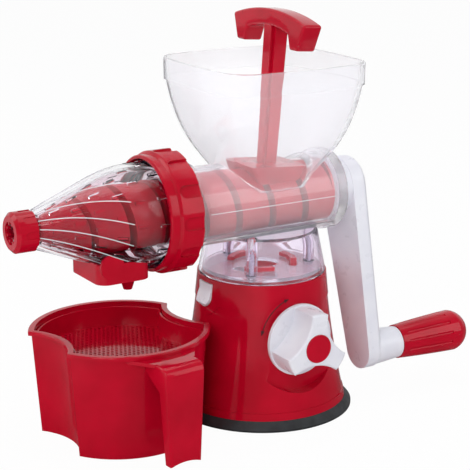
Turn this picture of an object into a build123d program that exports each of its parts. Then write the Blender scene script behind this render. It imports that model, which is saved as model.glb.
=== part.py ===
"""Hand-cranked wheatgrass juicer with its juice cup. Millimetres, +Z up.

The origin is the middle of the suction foot, on the table. The auger turns about
the X axis of the barrel: the crank is at +X, the pulp outlet at -X, and the
suction knob faces -Y.
"""
from build123d import *
import math
import os

# ---------------------------------------------------------------- clearances
running_gap = 0.3          # between curved faces that move past each other
shaft_gap = 0.06           # radial, a shaft turning in its bearing
screw_gap = 0.05           # radial, a screw in its thread
socket_gap = 0.1           # each side of the square drive
weld_gap = 0.12            # bead line between mouldings that are joined for good
screw_clearance = 0.2      # radial, a screw in a plain hole
far = 200.0                # beyond the part, for cutting tools
over = 1.0                 # by which a cutting tool passes the face that it cuts

# ------------------------------------------------------------- suction foot
foot_radius = 65.0
foot_height = 6.5
foot_land_radius = 60.6    # top of the rubber rim, under the base shell
foot_inner_radius = 49.0
foot_lip_height = 1.4
membrane_rest = 0.0        # it lies on the table until the knob is turned
membrane_thickness = 1.8
membrane_boss_radius = 14.0
suction_stroke = 4.0

# --------------------------------------------------------------- base shell
base_foot_radius = 59.8
base_waist_radius = 51.6
base_waist_height = 48.0
seam_radius = 45.2         # where the clear skirt meets the base
seam_height = 99.3
base_wall = 2.6
skirting_height = 5.0      # low band round the bottom edge of the base
skirting_proud = 0.6
collar_height = 82.0       # lower edge of the raised collar
collar_dip = 73.0          # its lowest point, under the release tab
collar_dip_half_width = 17.0
collar_proud = 0.6
plate_thickness = 3.5
plate_screw_circle = 42.0
plate_screw_count = 3
plate_screw_start = 60.0   # degrees
post_radius = 4.2
post_height = 26.0
post_web = 2.4

# ------------------------------------------------------------- small screws
screw_radius = 1.45
screw_head_radius = 3.0
screw_head_height = 1.8
recess_width = 1.0
recess_length = 3.9
recess_depth = 0.8
well_gap = 1.0             # round a screw's head in its well
base_screw_sink = 2.0
base_screw_length = 14.0
knob_screw_bite = 10.0

# -------------------------------------------- suction knob, shaft and stem
knob_height = 60.25
knob_seat = -47.6          # flat face of the dish that is cut into the base
dish_radius = 37.0
knob_flange_radius = 25.3
knob_flange_thickness = 2.6
knob_front = -72.7
knob_lobe_radius = 24.2
flank_radius = 31.2
flank_distance = 43.7
flank_start = 26.0         # degrees, direction of the first hollow flank
knob_disc_radius = 9.9
knob_disc_proud = 0.7
knob_disc_depth = 3.0
knob_disc_round = 0.5
knob_round = 1.6
knob_web = 2.0             # between the shaft's end and the screw's head
shaft_radius = 6.0
shaft_front = -62.0
shaft_back = 8.0
bearing_length = 11.0
bearing_wall = 3.0
cam_radius = 9.2
cam_throw = suction_stroke / (2 * math.sin(math.radians(45)))
cam_width = 5.0
cam_gap = 0.35
stem_width = 6.4           # along the knob shaft
stem_wall = 4.0
stem_foot_radius = 12.0
stem_foot_thickness = 2.5

# -------------------------------------------------------------- release tab
tab_width = 16.0
tab_bottom = 79.0
tab_top = 96.0
tab_proud = 1.0
tab_thumb_proud = 3.4
tab_thumb_low = 82.0       # heights of the thumb rest on the tab's face
tab_thumb_high = 86.0
tab_thumb_end = 91.0
tab_depth = 3.9            # how far it reaches in behind the shell's face
tab_zone = (30.0, 60.0)    # from the axis, the span that the slot is cut through
tab_flange_thickness = 1.5
tab_flange_margin = 2.4
tab_stroke = 3.0

# ----------------------------------------------- bayonet of the upper body
deck_thickness = 2.5
deck_height = 90.0
ledge_width = 4.0
ledge_depth = 2.5
hook_radius = 22.5
hook_thickness = 4.6
hook_span = 30.0           # degrees
hook_lip_span = 20.0
hook_lip_height = 2.6
lock_angle = 22.0
bayonet_height = 101.0
bayonet_thickness = 2.6
bayonet_opening = 12.0
hook_angles = (-136.0, -16.0, 104.0)
boss_angles = (-134.0, -23.0, 104.0)
boss_circle = 34.0
boss_radius = 4.0
boss_roof = 10.0           # solid end of each boss above its thread

# ---------------------------------------------------------------- the barrel
barrel_height = 151.7
barrel_bore = 24.0
barrel_radius = 27.0
barrel_back = 53.5
barrel_floor = 47.0        # inner face of the rear wall
barrel_ring_radius = 29.2
barrel_ring_start = 45.6
collar_radius = 38.4       # threaded mouth under the lock ring
collar_front = -84.0
collar_back = -71.5
neck_radius = 31.0
neck_back = -60.0
neck_taper = 3.0
thread_turns = 3
thread_pitch = 3.0
thread_depth = 0.9
saddle_height = barrel_height - 21.1    # underside of the two rails below the barrel
saddle_thickness = 2.8
saddle_half_width = 24.5
saddle_front = -62.0
saddle_back = 46.0
skirt_top_radius = 39.4
skirt_top = saddle_height - 2.6
skirt_wall = 2.4
skirt_shoulder = 1.5
boss_depth = saddle_height - boss_roof - bayonet_height - bayonet_thickness    # of its thread
boss_screw_length = bayonet_thickness + boss_depth - 2.0

# ---------------------------------------------------------------- the hopper
hopper_offset = 0.5        # middle of the hopper along X
hopper_wall = 2.0
throat_height = barrel_height + 9.8
throat_half_length = 22.5
throat_half_width = 27.6
throat_top_height = throat_height + 15.5
throat_top_half = 34.0     # half sizes of the bowl, from the throat up
bowl_lower_height = throat_top_height + 13.0
bowl_lower_half = 42.4
bowl_upper_height = bowl_lower_height + 20.0
bowl_upper_half = 50.8
band_height = bowl_upper_height + 23.4     # step line below the rim
bowl_half = 56.0
band_proud = 0.3
rim_height = band_height + 15.0
rim_half = 57.3
corner_reach = 0.87        # a section's corner, as a share of its half size
side_reach = 0.97
side_run = 0.65

# ------------------------------------------------------- auger and rear bush
auger_radius = 22.6
auger_back = 46.0
auger_tip = -172.0
auger_pitch = 27.0
flight_share = 0.78        # of a turn that the crest covers
flight_foot_share = 0.95
flight_trim = 3.0          # by which the raw screw is larger than the auger
core_radius = 13.5
end_disc = 1.6
strainer_play = 0.9        # between the auger and the strainer
journal_radius = 8.0
bush_radius = 11.0
square_size = 9.0
square_end = 69.5
crank_thread_radius = 2.0
crank_thread_depth = 14.0
crank_screw_reach = 12.0

# ------------------------------------------------------------ crank and grip
hub_radius = 20.6
hub_start = 54.4
arm_start = 63.7
arm_thickness = 13.0
arm_length = 120.5
arm_hub_radius = 21.0
arm_end_radius = 13.9
arm_round = 4.5
arm_counterbore = 3.0
crank_head_radius = 4.6
crank_head_height = 2.6
crank_socket_radius = 1.5
crank_socket_depth = 1.6
arm_swing = 14.7           # degrees from straight down, towards the knob side
boss_end = 97.0
boss_end_radius = 11.6
boss_start_radius = 13.3
pin_radius = 3.0
pin_start = 71.0
grip_start = 97.4
grip_start_radius = 12.4
grip_bulge_radius = 15.2
grip_bulge = 148.0
grip_belly = 0.3
grip_cap_start = 146.0
grip_end = 160.5
flute_count = 12
flute_radius = 1.3
flute_inset = 5.0          # plain length at each end of a flute
flute_lift = 0.9           # its axis above the grip's surface
washer_radius = 5.0
washer_thickness = 1.6
grip_pocket_length = 6.0
cap_pocket_length = 3.0
pin_end = 1.5              # length of pin beyond its washer

# -------------------------------------------------------------- the pusher
pusher_tilt = 4.8          # degrees, as it leans in the hopper
pusher_lift_point = 0.9    # X of its middle at the height of the barrel
shoe_bottom = throat_height + 0.8
shoe_top = shoe_bottom + 14.2
shoe_bottom_half = 16.0
shoe_top_half = 22.5
shoe_half_width = 18.5
shoe_round = 3.5
stem_sink = 1.0            # of the stem's foot into the shoe
stem_head_sink = 4.0       # and of its head into the handle
stem_bottom_size = 11.6
stem_top_size = 13.8
stem_arm_share = 0.66      # width of the cross's arms
handle_top = rim_height + 34.2
handle_shoulder = handle_top - 7.0         # top corners of the handle
handle_half_length = 45.0
handle_tip = handle_top - 24.8             # lower ends of the two hooks
handle_tip_half = 38.0
hook_inner_half = 28.5
handle_inner_half = 25.0
handle_inner_shoulder = handle_top - 15.0
handle_under = handle_top - 11.4
handle_thickness = 15.0
handle_round = 2.0

# --------------------------------------------------- lock ring and the nose
ring_radius = 41.7
ring_front = -94.0
ring_back = -69.8
ring_step = -87.0          # where the smooth front lip begins
ring_lip_radius = 39.6
ring_mouth_radius = 37.2
ring_lip_thickness = 3.0
grip_count = 12
grip_width = 9.0
grip_length = 12.5
grip_depth = 1.9
ring_round = 0.8
nose_flange_radius = 38.2
nose_flange_thickness = 2.6
nose_back = -84.6
gasket_width = 5.0
nose_wall = 2.2
nose_shoulder_radius = 36.4
nose_shoulder = -90.5
nose_drum_radius = 34.9
nose_drum_end = -104.0
nose_shoulder_run = 4.0
nose_tip_slope = 0.42
nose_drum_slope = 0.02
nose_middle = -135.0
nose_middle_radius = 27.9
nose_tip = -178.0
nose_tip_radius = 11.3
nose_spigot_radius = 9.4
nose_spigot_end = -187.5
nose_outlet_radius = 5.4
drum_rib_count = 12
drum_rib_width = 1.8
drum_rib_start = -100.0
juice_gap = 1.8            # between the strainer and the nose
strainer_wall = 1.5
strainer_front = -172.0
strainer_foot_thickness = 2.0
slot_rows = 5
slot_first = -162.0        # X of the middle of the first row
slot_row_pitch = 13.0
slot_count = 12
slot_length = 7.0
slot_width = 2.2
juice_hole_radius = 9.0
juice_hole_x = -118.0
cap_front = -190.8
cap_back = -175.9
cap_radius = 13.6
cap_round = 2.2
cap_skirt_wall = 1.1
cap_mouth_radius = 7.6
cap_tooth_count = 8
cap_tooth_width = 1.8
cap_tooth_inset = 0.6
cap_grip_count = 8
cap_grip_width = 5.0
cap_grip_length = 7.5
cap_grip_depth = 0.7

# ------------------------------------------------------------ juice spout
spout_left = -139.0
spout_right = -100.5
spout_half_width = 23.3
spout_top = barrel_height - 24.7
spout_bottom = spout_top - 13.5
spout_arch_top = spout_top + 7.0
spout_arch_width = 17.0
spout_arch_x = -129.5
spout_corner = 8.0
spout_wall = 2.0
drip_x = -107.0
drip_radius = 4.8
drip_shoulder = spout_bottom - 6.5
drip_tip = drip_shoulder - 5.8
drip_bore = 2.2
drip_lip = 0.8

# -------------------------------------------------------------- juice cup
cup_x = -112.0
cup_y = 3.9
cup_turn = 3.5             # degrees about its own axis
cup_height = 73.5
cup_rim_radius = 61.9
cup_top_radius = 59.6
cup_bottom_radius = 54.6
cup_wall = 2.0
cup_floor = 2.4
cup_rim_thickness = 2.9
cup_rim_round = 0.9
notch_radius = 44.0
notch_depth = 15.5         # at the rim, on each side along X
basket_gap = 0.4
basket_wall = 1.4
basket_floor = 55.0
basket_floor_thickness = 1.6
basket_below_rim = 3.4
ledge_step = 1.8           # width of the step in the cup that carries the basket
mesh_pitch = 5.3
mesh_hole_radius = 1.3
mesh_margin = 3.5
cup_handle_width = 30.5    # at the rim
cup_handle_low_width = 23.5
cup_handle_face = cup_y - 82.7
cup_handle_top = 70.6
cup_handle_bottom = 2.5
cup_handle_depth = 9.0     # of its side walls, at the foot of the gusset
cup_handle_low_depth = 6.5
cup_handle_wall = 2.4
cup_handle_round = 7.0     # of the shoulder
cup_handle_edge = 1.5      # rounding of its long edges
cup_handle_notch = 2.2
gusset_low = 52.0          # where the side walls start to widen towards the cup
gusset_high = 62.0
flare_half = 29.0          # the plate below the rim that the strap grows out of
flare_neck = 18.5
flare_reach = 10.5         # from the cup's wall to where the flare has run out
flare_thickness = 2.4

LOW = (Align.CENTER, Align.CENTER, Align.MIN)


# ================================================================= helpers
def block(x_low, x_high, y_low, y_high, z_low, z_high):
    """Box between two corners."""
    size = (x_high - x_low, y_high - y_low, z_high - z_low)
    middle = ((x_low + x_high) / 2, (y_low + y_high) / 2, (z_low + z_high) / 2)
    return Pos(*middle) * Box(*size)


def rod_x(radius, start, end, y=0.0, z=barrel_height):
    """Cylinder along X; on the barrel axis unless told otherwise."""
    return Pos(start, y, z) * Rot(0, 90, 0) * Cylinder(radius, end - start, align=LOW)


def rod_y(radius, start, end, x=0.0, z=knob_height):
    """Cylinder along Y; on the knob axis unless told otherwise."""
    return Pos(x, start, z) * Rot(-90, 0, 0) * Cylinder(radius, end - start, align=LOW)


def rod_z(radius, bottom, top, x=0.0, y=0.0):
    """Upright cylinder."""
    return Pos(x, y, bottom) * Cylinder(radius, top - bottom, align=LOW)


def turned_z(*corners):
    """Solid of revolution about Z from (radius, height) corners."""
    points = [Vector(radius, 0, height) for radius, height in corners]
    return revolve(Face(Wire.make_polygon(points, close=True)), Axis.Z)


def turned_x(*corners):
    """Solid of revolution about the barrel axis from (x, radius) corners."""
    points = [Vector(x, 0, radius) for x, radius in corners]
    spun = revolve(Face(Wire.make_polygon(points, close=True)), Axis.X)
    return Pos(0, 0, barrel_height) * spun


def polar(radius, angle):
    """X and Y of a point at an angle in degrees from +X."""
    return radius * math.cos(math.radians(angle)), radius * math.sin(math.radians(angle))


def screw_up(x, y, underside, length):
    """Pan-head screw pointing up, its head's bearing face at underside."""
    head = rod_z(screw_head_radius, underside - screw_head_height, underside, x, y)
    shank = rod_z(screw_radius, underside, underside + length, x, y)
    low = underside - screw_head_height
    cross = Box(recess_width, recess_length, 2 * recess_depth)
    cross += Box(recess_length, recess_width, 2 * recess_depth)
    return head + shank - Pos(x, y, low) * cross


def stadium(width, length):
    """Flat slot outline, its straight end at the origin and its round end at +X."""
    return Pos(length / 2, 0) * Rectangle(length, width) + Pos(length, 0) * Circle(width / 2)


# --------------------------------------------------------- shared outlines
def base_radius(height):
    """Outer radius of the base shell, which flares out as an arc through three points."""
    top = (seam_radius, seam_height)
    middle = (base_waist_radius, base_waist_height)
    bottom = (base_foot_radius, foot_height)
    rows = []
    for first, second in ((top, middle), (middle, bottom)):
        rows.append((second[0] - first[0], second[1] - first[1],
                     (second[0] ** 2 - first[0] ** 2 + second[1] ** 2 - first[1] ** 2) / 2))
    (a1, b1, c1), (a2, b2, c2) = rows
    determinant = a1 * b2 - a2 * b1
    centre_r = (c1 * b2 - c2 * b1) / determinant
    centre_z = (a1 * c2 - a2 * c1) / determinant
    arc_radius = math.hypot(top[0] - centre_r, top[1] - centre_z)
    return centre_r - math.sqrt(arc_radius ** 2 - (height - centre_z) ** 2)


def base_body(inset, bottom, top):
    """Solid inside the base's flared outline, moved in by inset."""
    middle = (bottom + top) / 2
    flare = ThreePointArc((base_radius(bottom) - inset, 0, bottom),
                          (base_radius(middle) - inset, 0, middle),
                          (base_radius(top) - inset, 0, top))
    rest = Polyline(flare @ 1, (0, 0, top), (0, 0, bottom), flare @ 0)
    return revolve(make_face(flare + rest), Axis.Z)


def skirt_radius(height):
    """Outer radius of the clear skirt."""
    share = (height - seam_height) / (skirt_top - seam_height)
    return seam_radius + share * (skirt_top_radius - seam_radius)


def nose_body(inset, start, end, tip_extra=0.0):
    """Solid inside the nose's outline, from its tip end (start) to its back (end)."""
    tip = nose_tip + tip_extra
    outline = Spline((tip, 0, nose_tip_radius - inset),
                     (nose_middle, 0, nose_middle_radius - inset),
                     (nose_drum_end, 0, nose_drum_radius - inset),
                     tangents=((1, 0, nose_tip_slope), (1, 0, nose_drum_slope)))
    rest = Polyline(outline @ 1, (end, 0, nose_drum_radius - inset), (end, 0, 0),
                    (tip, 0, 0), outline @ 0)
    body = Pos(0, 0, barrel_height) * revolve(make_face(outline + rest), Axis.X)
    return body & rod_x(2 * nose_drum_radius, start, end)


def squircle(half_length, half_width, height):
    """Closed outline of a rounded square with slightly bowed sides."""
    x_side, y_side = side_reach * half_length, side_reach * half_width
    x_run, y_run = side_run * half_length, side_run * half_width
    x_corner, y_corner = corner_reach * half_length, corner_reach * half_width
    edges = []
    for turn in range(4):
        flip = turn % 2
        stations = [(x_side, -y_run), (half_length, 0), (x_side, y_run),
                    (x_corner, y_corner), (x_run, y_side)]
        if flip:
            stations = [(x_run, y_side), (0, half_width), (-x_run, y_side),
                        (-x_corner, y_corner), (-x_side, y_run)]
        sign = -1 if turn > 1 else 1
        points = [Vector(sign * x + hopper_offset, sign * y, height) for x, y in stations]
        edges.append(Edge.make_three_point_arc(*points[0:3]))
        edges.append(Edge.make_three_point_arc(*points[2:5]))
    return Face(Wire(edges))


def hopper_body(inset):
    """Bowl and throat of the hopper as one solid, moved in by inset."""
    sections = [squircle(throat_half_length - inset, throat_half_width - inset, throat_height),
                squircle(throat_top_half - inset, throat_top_half - inset, throat_top_height),
                squircle(bowl_lower_half - inset, bowl_lower_half - inset, bowl_lower_height),
                squircle(bowl_upper_half - inset, bowl_upper_half - inset, bowl_upper_height),
                squircle(bowl_half - inset, bowl_half - inset, band_height),
                squircle(rim_half - band_proud - inset, rim_half - band_proud - inset, rim_height)]
    return loft(sections)


# ============================================================ suction foot
def suction_rim():
    """Rubber rim of the suction foot: the black band that the juicer stands on."""
    return turned_z((foot_inner_radius, 0), (foot_radius, 0), (foot_radius, foot_lip_height),
                    (foot_land_radius, foot_height), (foot_inner_radius, foot_height))


def suction_membrane():
    """Rubber disc inside the rim, pulled up by the stem."""
    top = membrane_rest + membrane_thickness
    disc = rod_z(foot_inner_radius - running_gap, membrane_rest, top)
    return disc + rod_z(membrane_boss_radius, top, foot_height)


def base_plate():
    """Closing plate under the base shell, on top of the rubber rim."""
    radius = base_radius(foot_height + plate_thickness) - base_wall - running_gap
    plate = rod_z(radius, foot_height, foot_height + plate_thickness)
    plate -= rod_z(membrane_boss_radius + 2 * running_gap, 0, 2 * foot_height)
    for number in range(plate_screw_count):
        x, y = plate_screw_place(number)
        plate -= rod_z(screw_head_radius + running_gap, 0, foot_height + base_screw_sink, x, y)
        plate -= rod_z(screw_radius + screw_gap, 0, 2 * foot_height, x, y)
    return plate


def plate_screw_angle(number):
    """Direction of one of the closing plate's screws, in degrees from +X."""
    return plate_screw_start + number * 360 / plate_screw_count


def plate_screw_place(number):
    """X and Y of one of the screws that hold the closing plate."""
    return polar(plate_screw_circle, plate_screw_angle(number))


def base_screws():
    """Screws that hold the closing plate to the posts of the shell."""
    screws = []
    for number in range(plate_screw_count):
        x, y = plate_screw_place(number)
        screws.append(screw_up(x, y, foot_height + base_screw_sink, base_screw_length))
    return Compound(children=[solid for screw in screws for solid in screw.solids()])


# ============================================================== base shell
def raised_collar():
    """Upper band of the base, whose lower edge dips under the release tab."""
    band = base_body(-collar_proud, collar_dip - over, seam_height)
    above = block(-far, far, -far, far, collar_height, far)
    tongue_middle = collar_dip + collar_dip_half_width
    tongue = rod_x(collar_dip_half_width, -far, 0, 0, tongue_middle)
    tongue += block(-far, 0, -collar_dip_half_width, collar_dip_half_width, tongue_middle, far)
    return band & (above + tongue)


def tab_opening(margin):
    """Tongue-shaped prism through the shell at the release tab."""
    inner, outer = tab_zone
    half = tab_width / 2 + margin
    round_middle = tab_bottom + tab_width / 2
    prism = rod_x(half, -outer, -inner, 0, round_middle)
    return prism + block(-outer, -inner, -half, half, round_middle, tab_top + margin)


def base_shell():
    """Red housing of the base, with the dish for the knob and the slot for the tab."""
    outer = base_body(0, foot_height, seam_height) + raised_collar()
    outer += base_body(-skirting_proud, foot_height, foot_height + skirting_height)
    outer -= rod_y(dish_radius, -far, knob_seat)
    inner = base_body(base_wall, foot_height, seam_height)
    inner -= rod_y(dish_radius + base_wall, -far, knob_seat + base_wall)
    shell = outer - inner
    ledge_radius = base_radius(deck_height) - base_wall - ledge_width
    ledge = base_body(base_wall / 2, deck_height - ledge_depth, deck_height)
    shell += ledge - rod_z(ledge_radius, 0, seam_height)
    bearing_radius = shaft_radius + shaft_gap + bearing_wall
    shell += rod_y(bearing_radius, knob_seat, knob_seat + bearing_length)
    shell -= rod_y(shaft_radius + shaft_gap, -far, 0)
    post_bottom = foot_height + plate_thickness
    for number in range(plate_screw_count):
        x, y = plate_screw_place(number)
        post = rod_z(post_radius, post_bottom, post_bottom + post_height, x, y)
        web = block(plate_screw_circle, foot_radius, -post_web / 2, post_web / 2,
                    post_bottom, post_bottom + post_height)
        post += Rot(0, 0, plate_screw_angle(number)) * web
        shell += post & base_body(base_wall / 2, post_bottom, seam_height)
        shell -= rod_z(screw_radius + screw_gap, 0, post_bottom + post_height / 2, x, y)
    shell -= tab_opening(running_gap)
    notch_half = tab_width / 2 + tab_flange_margin + running_gap
    shell -= block(screw_clearance + base_wall - base_radius(deck_height), 0, -notch_half, notch_half,
                   deck_height - ledge_depth - over, deck_height + over)
    return shell


def base_deck():
    """Deck inside the top of the base, with three hooks for the bayonet plate."""
    top = deck_height + deck_thickness
    radius = base_radius(top) - base_wall - running_gap
    deck = rod_z(radius, deck_height, top) - rod_z(bayonet_opening, 0, seam_height)
    notch_half = tab_width / 2 + tab_flange_margin + running_gap
    pressed_corner = math.sqrt((radius - tab_flange_thickness) ** 2 - notch_half ** 2) - tab_stroke
    notch_reach = pressed_corner - 2 * running_gap
    deck -= block(-foot_radius, -notch_reach, -notch_half, notch_half, 0, seam_height)
    lip_bottom = bayonet_height + bayonet_thickness + running_gap
    for angle in hook_angles:
        deck += arc_bar(hook_radius, hook_thickness, angle, hook_span / 2, hook_span / 2, top,
                        lip_bottom + hook_lip_height)
        deck += arc_bar(hook_radius, hook_thickness, angle, hook_span / 2, hook_span / 2 + hook_lip_span,
                        lip_bottom, lip_bottom + hook_lip_height)
    return deck


def arc_bar(radius, thickness, angle, before, after, bottom, top):
    """Upright bar that follows a circle, from angle - before to angle + after degrees."""
    steps = 6
    outside, inside = [], []
    for step in range(steps + 1):
        turn = angle - before + (before + after) * step / steps
        outside.append(polar(radius + thickness / 2, turn))
        inside.append(polar(radius - thickness / 2, turn))
    outline = Face(Wire([
        Edge.make_three_point_arc(Vector(*outside[0], 0), Vector(*outside[3], 0), Vector(*outside[6], 0)),
        Edge.make_line(Vector(*outside[6], 0), Vector(*inside[6], 0)),
        Edge.make_three_point_arc(Vector(*inside[6], 0), Vector(*inside[3], 0), Vector(*inside[0], 0)),
        Edge.make_line(Vector(*inside[0], 0), Vector(*outside[0], 0))]))
    return Pos(0, 0, bottom) * extrude(outline, amount=top - bottom, dir=(0, 0, 1))


# ============================================== suction knob, shaft and stem
def lobed_outline(radius):
    """Three-lobed face of the knob: a circle with three hollow flanks."""
    face = Circle(radius)
    for number in range(3):
        x, y = polar(flank_distance, flank_start + number * 120)
        face -= Pos(x, y) * Circle(flank_radius)
    return face


def suction_knob():
    """White three-lobed knob on a round flange."""
    flange_back = knob_seat - running_gap
    flange_front = flange_back - knob_flange_thickness
    flange = rod_y(knob_flange_radius, flange_front, flange_back)
    body = extrude(lobed_outline(knob_lobe_radius), amount=flange_front - knob_front)
    body = Pos(0, flange_front, knob_height) * Rot(90, 0, 0) * body
    front_edges = body.edges().group_by(Axis.Y)[0]
    body = fillet(front_edges, knob_round)
    knob = flange + body
    knob -= rod_y(knob_disc_radius + running_gap / 2, knob_front - over, knob_front + knob_disc_depth)
    knob -= rod_y(screw_head_radius + well_gap, knob_front, shaft_front - knob_web)
    knob -= rod_y(screw_radius + screw_clearance, knob_front, shaft_front)
    knob -= rod_y(shaft_radius + screw_gap, shaft_front, 0)
    return knob


def knob_disc():
    """Red disc in the middle of the knob's face."""
    front = knob_front - knob_disc_proud
    disc = rod_y(knob_disc_radius, front, knob_front + knob_disc_depth)
    return fillet(disc.edges().group_by(Axis.Y)[0], knob_disc_round)


def knob_screw():
    """Screw under the disc that holds the knob on its shaft."""
    underside = shaft_front - knob_web
    head = rod_y(screw_head_radius, underside - screw_head_height, underside)
    return head + rod_y(screw_radius, underside, shaft_front + knob_screw_bite)


def knob_shaft():
    """Shaft of the knob with the eccentric disc that lifts the stem."""
    shaft = rod_y(shaft_radius, shaft_front, shaft_back)
    cam_x, cam_z = polar(cam_throw, -45)
    shaft += rod_y(cam_radius, -cam_width / 2, cam_width / 2, cam_x, knob_height + cam_z)
    thread_end = shaft_front + knob_screw_bite + screw_gap
    return shaft - rod_y(screw_radius + screw_gap, shaft_front - over, thread_end)


def suction_stem():
    """Yoke round the eccentric disc, on the foot that holds the membrane."""
    cam_z = knob_height - suction_stroke / 2
    half_height = cam_radius + cam_gap
    half_width = cam_radius + cam_throw + cam_gap
    foot_top = foot_height + stem_foot_thickness
    outer_half = half_width + stem_wall
    yoke = block(-outer_half, outer_half, -stem_width / 2, stem_width / 2,
                 cam_z - half_height - stem_wall, cam_z + half_height + stem_wall)
    yoke -= block(-half_width, half_width, -stem_width, stem_width, cam_z - half_height, cam_z + half_height)
    stalk = block(-stem_wall, stem_wall, -stem_width / 2, stem_width / 2, foot_top, cam_z - half_height)
    return yoke + stalk + rod_z(stem_foot_radius, foot_height, foot_top)


# ============================================================== release tab
def release_tab():
    """White press tab that frees the upper body, with a wider flange behind the shell."""
    low, high = base_radius(tab_bottom), base_radius(tab_top)
    face_profile = turned_z((low - tab_depth, tab_bottom), (low + tab_proud, tab_bottom),
                            (low + tab_thumb_proud, tab_thumb_low), (high + tab_thumb_proud, tab_thumb_high),
                            (high + tab_proud + collar_proud, tab_thumb_end),
                            (high + tab_proud + collar_proud, tab_top), (high - tab_depth, tab_top))
    tongue = face_profile & tab_opening(0)
    flange_bottom = tab_bottom - tab_flange_margin
    flange_top = tab_top + tab_flange_margin
    back = base_body(base_wall + running_gap, flange_bottom, flange_top)
    front = base_body(base_wall + running_gap + tab_flange_thickness, flange_bottom, flange_top)
    half = tab_width / 2 + tab_flange_margin
    flange = (back - front) & block(-foot_radius, 0, -half, half, flange_bottom, flange_top)
    return tongue + flange


# ================================================= upper body on its bayonet
def boss_place(angle):
    """X and Y of a screw boss of the skirt."""
    return polar(boss_circle, angle)


def stand_skirt():
    """Clear skirt under the barrel, with its shoulder and three screw bosses."""
    bottom = seam_height + running_gap
    outer = turned_z((0, bottom), (skirt_radius(bottom), bottom), (skirt_top_radius, skirt_top),
                     (skirt_top_radius - skirt_shoulder, saddle_height), (0, saddle_height))
    inner_top = saddle_height - skirt_wall
    inner = turned_z((0, bottom), (skirt_radius(bottom) - skirt_wall, bottom),
                     (skirt_radius(inner_top) - skirt_wall, inner_top), (0, inner_top))
    bosses = None
    boss_bottom = bayonet_height + bayonet_thickness
    for angle in boss_angles:
        x, y = boss_place(angle)
        boss = rod_z(boss_radius, boss_bottom, saddle_height, x, y)
        bosses = boss if bosses is None else bosses + boss
    skirt = (outer - inner) + (bosses & outer)
    for angle in boss_angles:
        x, y = boss_place(angle)
        skirt -= rod_z(screw_radius + screw_gap, 0, boss_bottom + boss_depth, x, y)
    return skirt - rod_x(barrel_radius + weld_gap, -far, far)


def bayonet_plate():
    """Clear plate screwed under the bosses; its slots turn under the hooks of the deck."""
    radius = skirt_radius(bayonet_height + bayonet_thickness) - skirt_wall - running_gap
    plate = rod_z(radius, bayonet_height, bayonet_height + bayonet_thickness)
    plate -= rod_z(bayonet_opening, 0, rim_height)
    slot_margin = 1.5
    for angle in hook_angles:
        plate -= arc_bar(hook_radius, hook_thickness + slot_margin, angle,
                         hook_span / 2 + lock_angle + slot_margin, hook_span / 2 + slot_margin,
                         bayonet_height - over, bayonet_height + bayonet_thickness + over)
    for angle in boss_angles:
        x, y = boss_place(angle)
        plate -= rod_z(screw_radius + screw_gap, 0, rim_height, x, y)
    return plate


def bayonet_screws():
    """Steel screws that hold the bayonet plate to the bosses."""
    screws = []
    for angle in boss_angles:
        x, y = boss_place(angle)
        screws.append(screw_up(x, y, bayonet_height, boss_screw_length))
    return Compound(children=[solid for screw in screws for solid in screw.solids()])


def barrel():
    """Clear barrel: threaded mouth, smooth tube, rear wall and the two rails below it."""
    body = turned_x((collar_front, barrel_bore), (collar_front, collar_radius), (collar_back, collar_radius),
                    (collar_back, neck_radius), (neck_back, neck_radius),
                    (neck_back + neck_taper, barrel_radius), (barrel_ring_start, barrel_radius),
                    (barrel_ring_start, barrel_ring_radius), (barrel_back, barrel_ring_radius),
                    (barrel_back, bush_radius),
                    (barrel_floor, bush_radius), (barrel_floor, barrel_bore))
    first_groove = collar_front + thread_pitch
    for number in range(thread_turns):
        start = first_groove + number * thread_pitch
        groove = rod_x(collar_radius + over, start, start + thread_pitch / 2)
        body -= groove - rod_x(collar_radius - thread_depth, start, start + thread_pitch / 2)
    rails = block(saddle_front, saddle_back, -saddle_half_width, saddle_half_width,
                  saddle_height, saddle_height + saddle_thickness)
    body += rails - rod_x((barrel_bore + barrel_radius) / 2, saddle_front - over, saddle_back + over)
    return body - hopper_body(hopper_wall)


def rear_bush():
    """White bush that carries the auger's journal in the rear wall."""
    body = turned_x((barrel_floor, journal_radius + shaft_gap), (barrel_floor, bush_radius),
                    (barrel_back, bush_radius), (barrel_back, journal_radius + shaft_gap))
    return body


def hopper():
    """Clear hopper: a rounded-square bowl that narrows to the throat over the auger."""
    bowl = hopper_body(0)
    band = loft([squircle(rim_half - band_proud / 2, rim_half - band_proud / 2, band_height),
                 squircle(rim_half, rim_half, rim_height)])
    body = (bowl + band) - hopper_body(hopper_wall)
    return body - rod_x(barrel_radius + weld_gap, -far, far)


# ===================================================================== auger
def auger_envelope():
    """Outer form of the auger: a cylinder that tapers with the strainer."""
    inset = nose_wall + juice_gap + strainer_wall + strainer_play
    nose_part = nose_body(inset, auger_tip, nose_drum_end + over)
    tube = rod_x(auger_radius, auger_tip, auger_back)
    return (nose_part + rod_x(auger_radius, nose_drum_end, auger_back)) & tube


def flight_section():
    """Cross-section of the screw: a crest that is cut to the envelope later, and the core."""
    crest = 180 * flight_share
    foot = 180 * flight_foot_share
    crest_radius = auger_radius + flight_trim
    crest_start = Vector(*polar(crest_radius, -crest), 0)
    crest_end = Vector(*polar(crest_radius, crest), 0)
    core_start = Vector(*polar(core_radius, foot), 0)
    core_end = Vector(*polar(core_radius, -foot), 0)
    return Wire([Edge.make_three_point_arc(crest_start, Vector(crest_radius, 0, 0), crest_end),
                 Edge.make_line(crest_end, core_start),
                 Edge.make_three_point_arc(core_start, Vector(-core_radius, 0, 0), core_end),
                 Edge.make_line(core_end, crest_start)])


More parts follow.
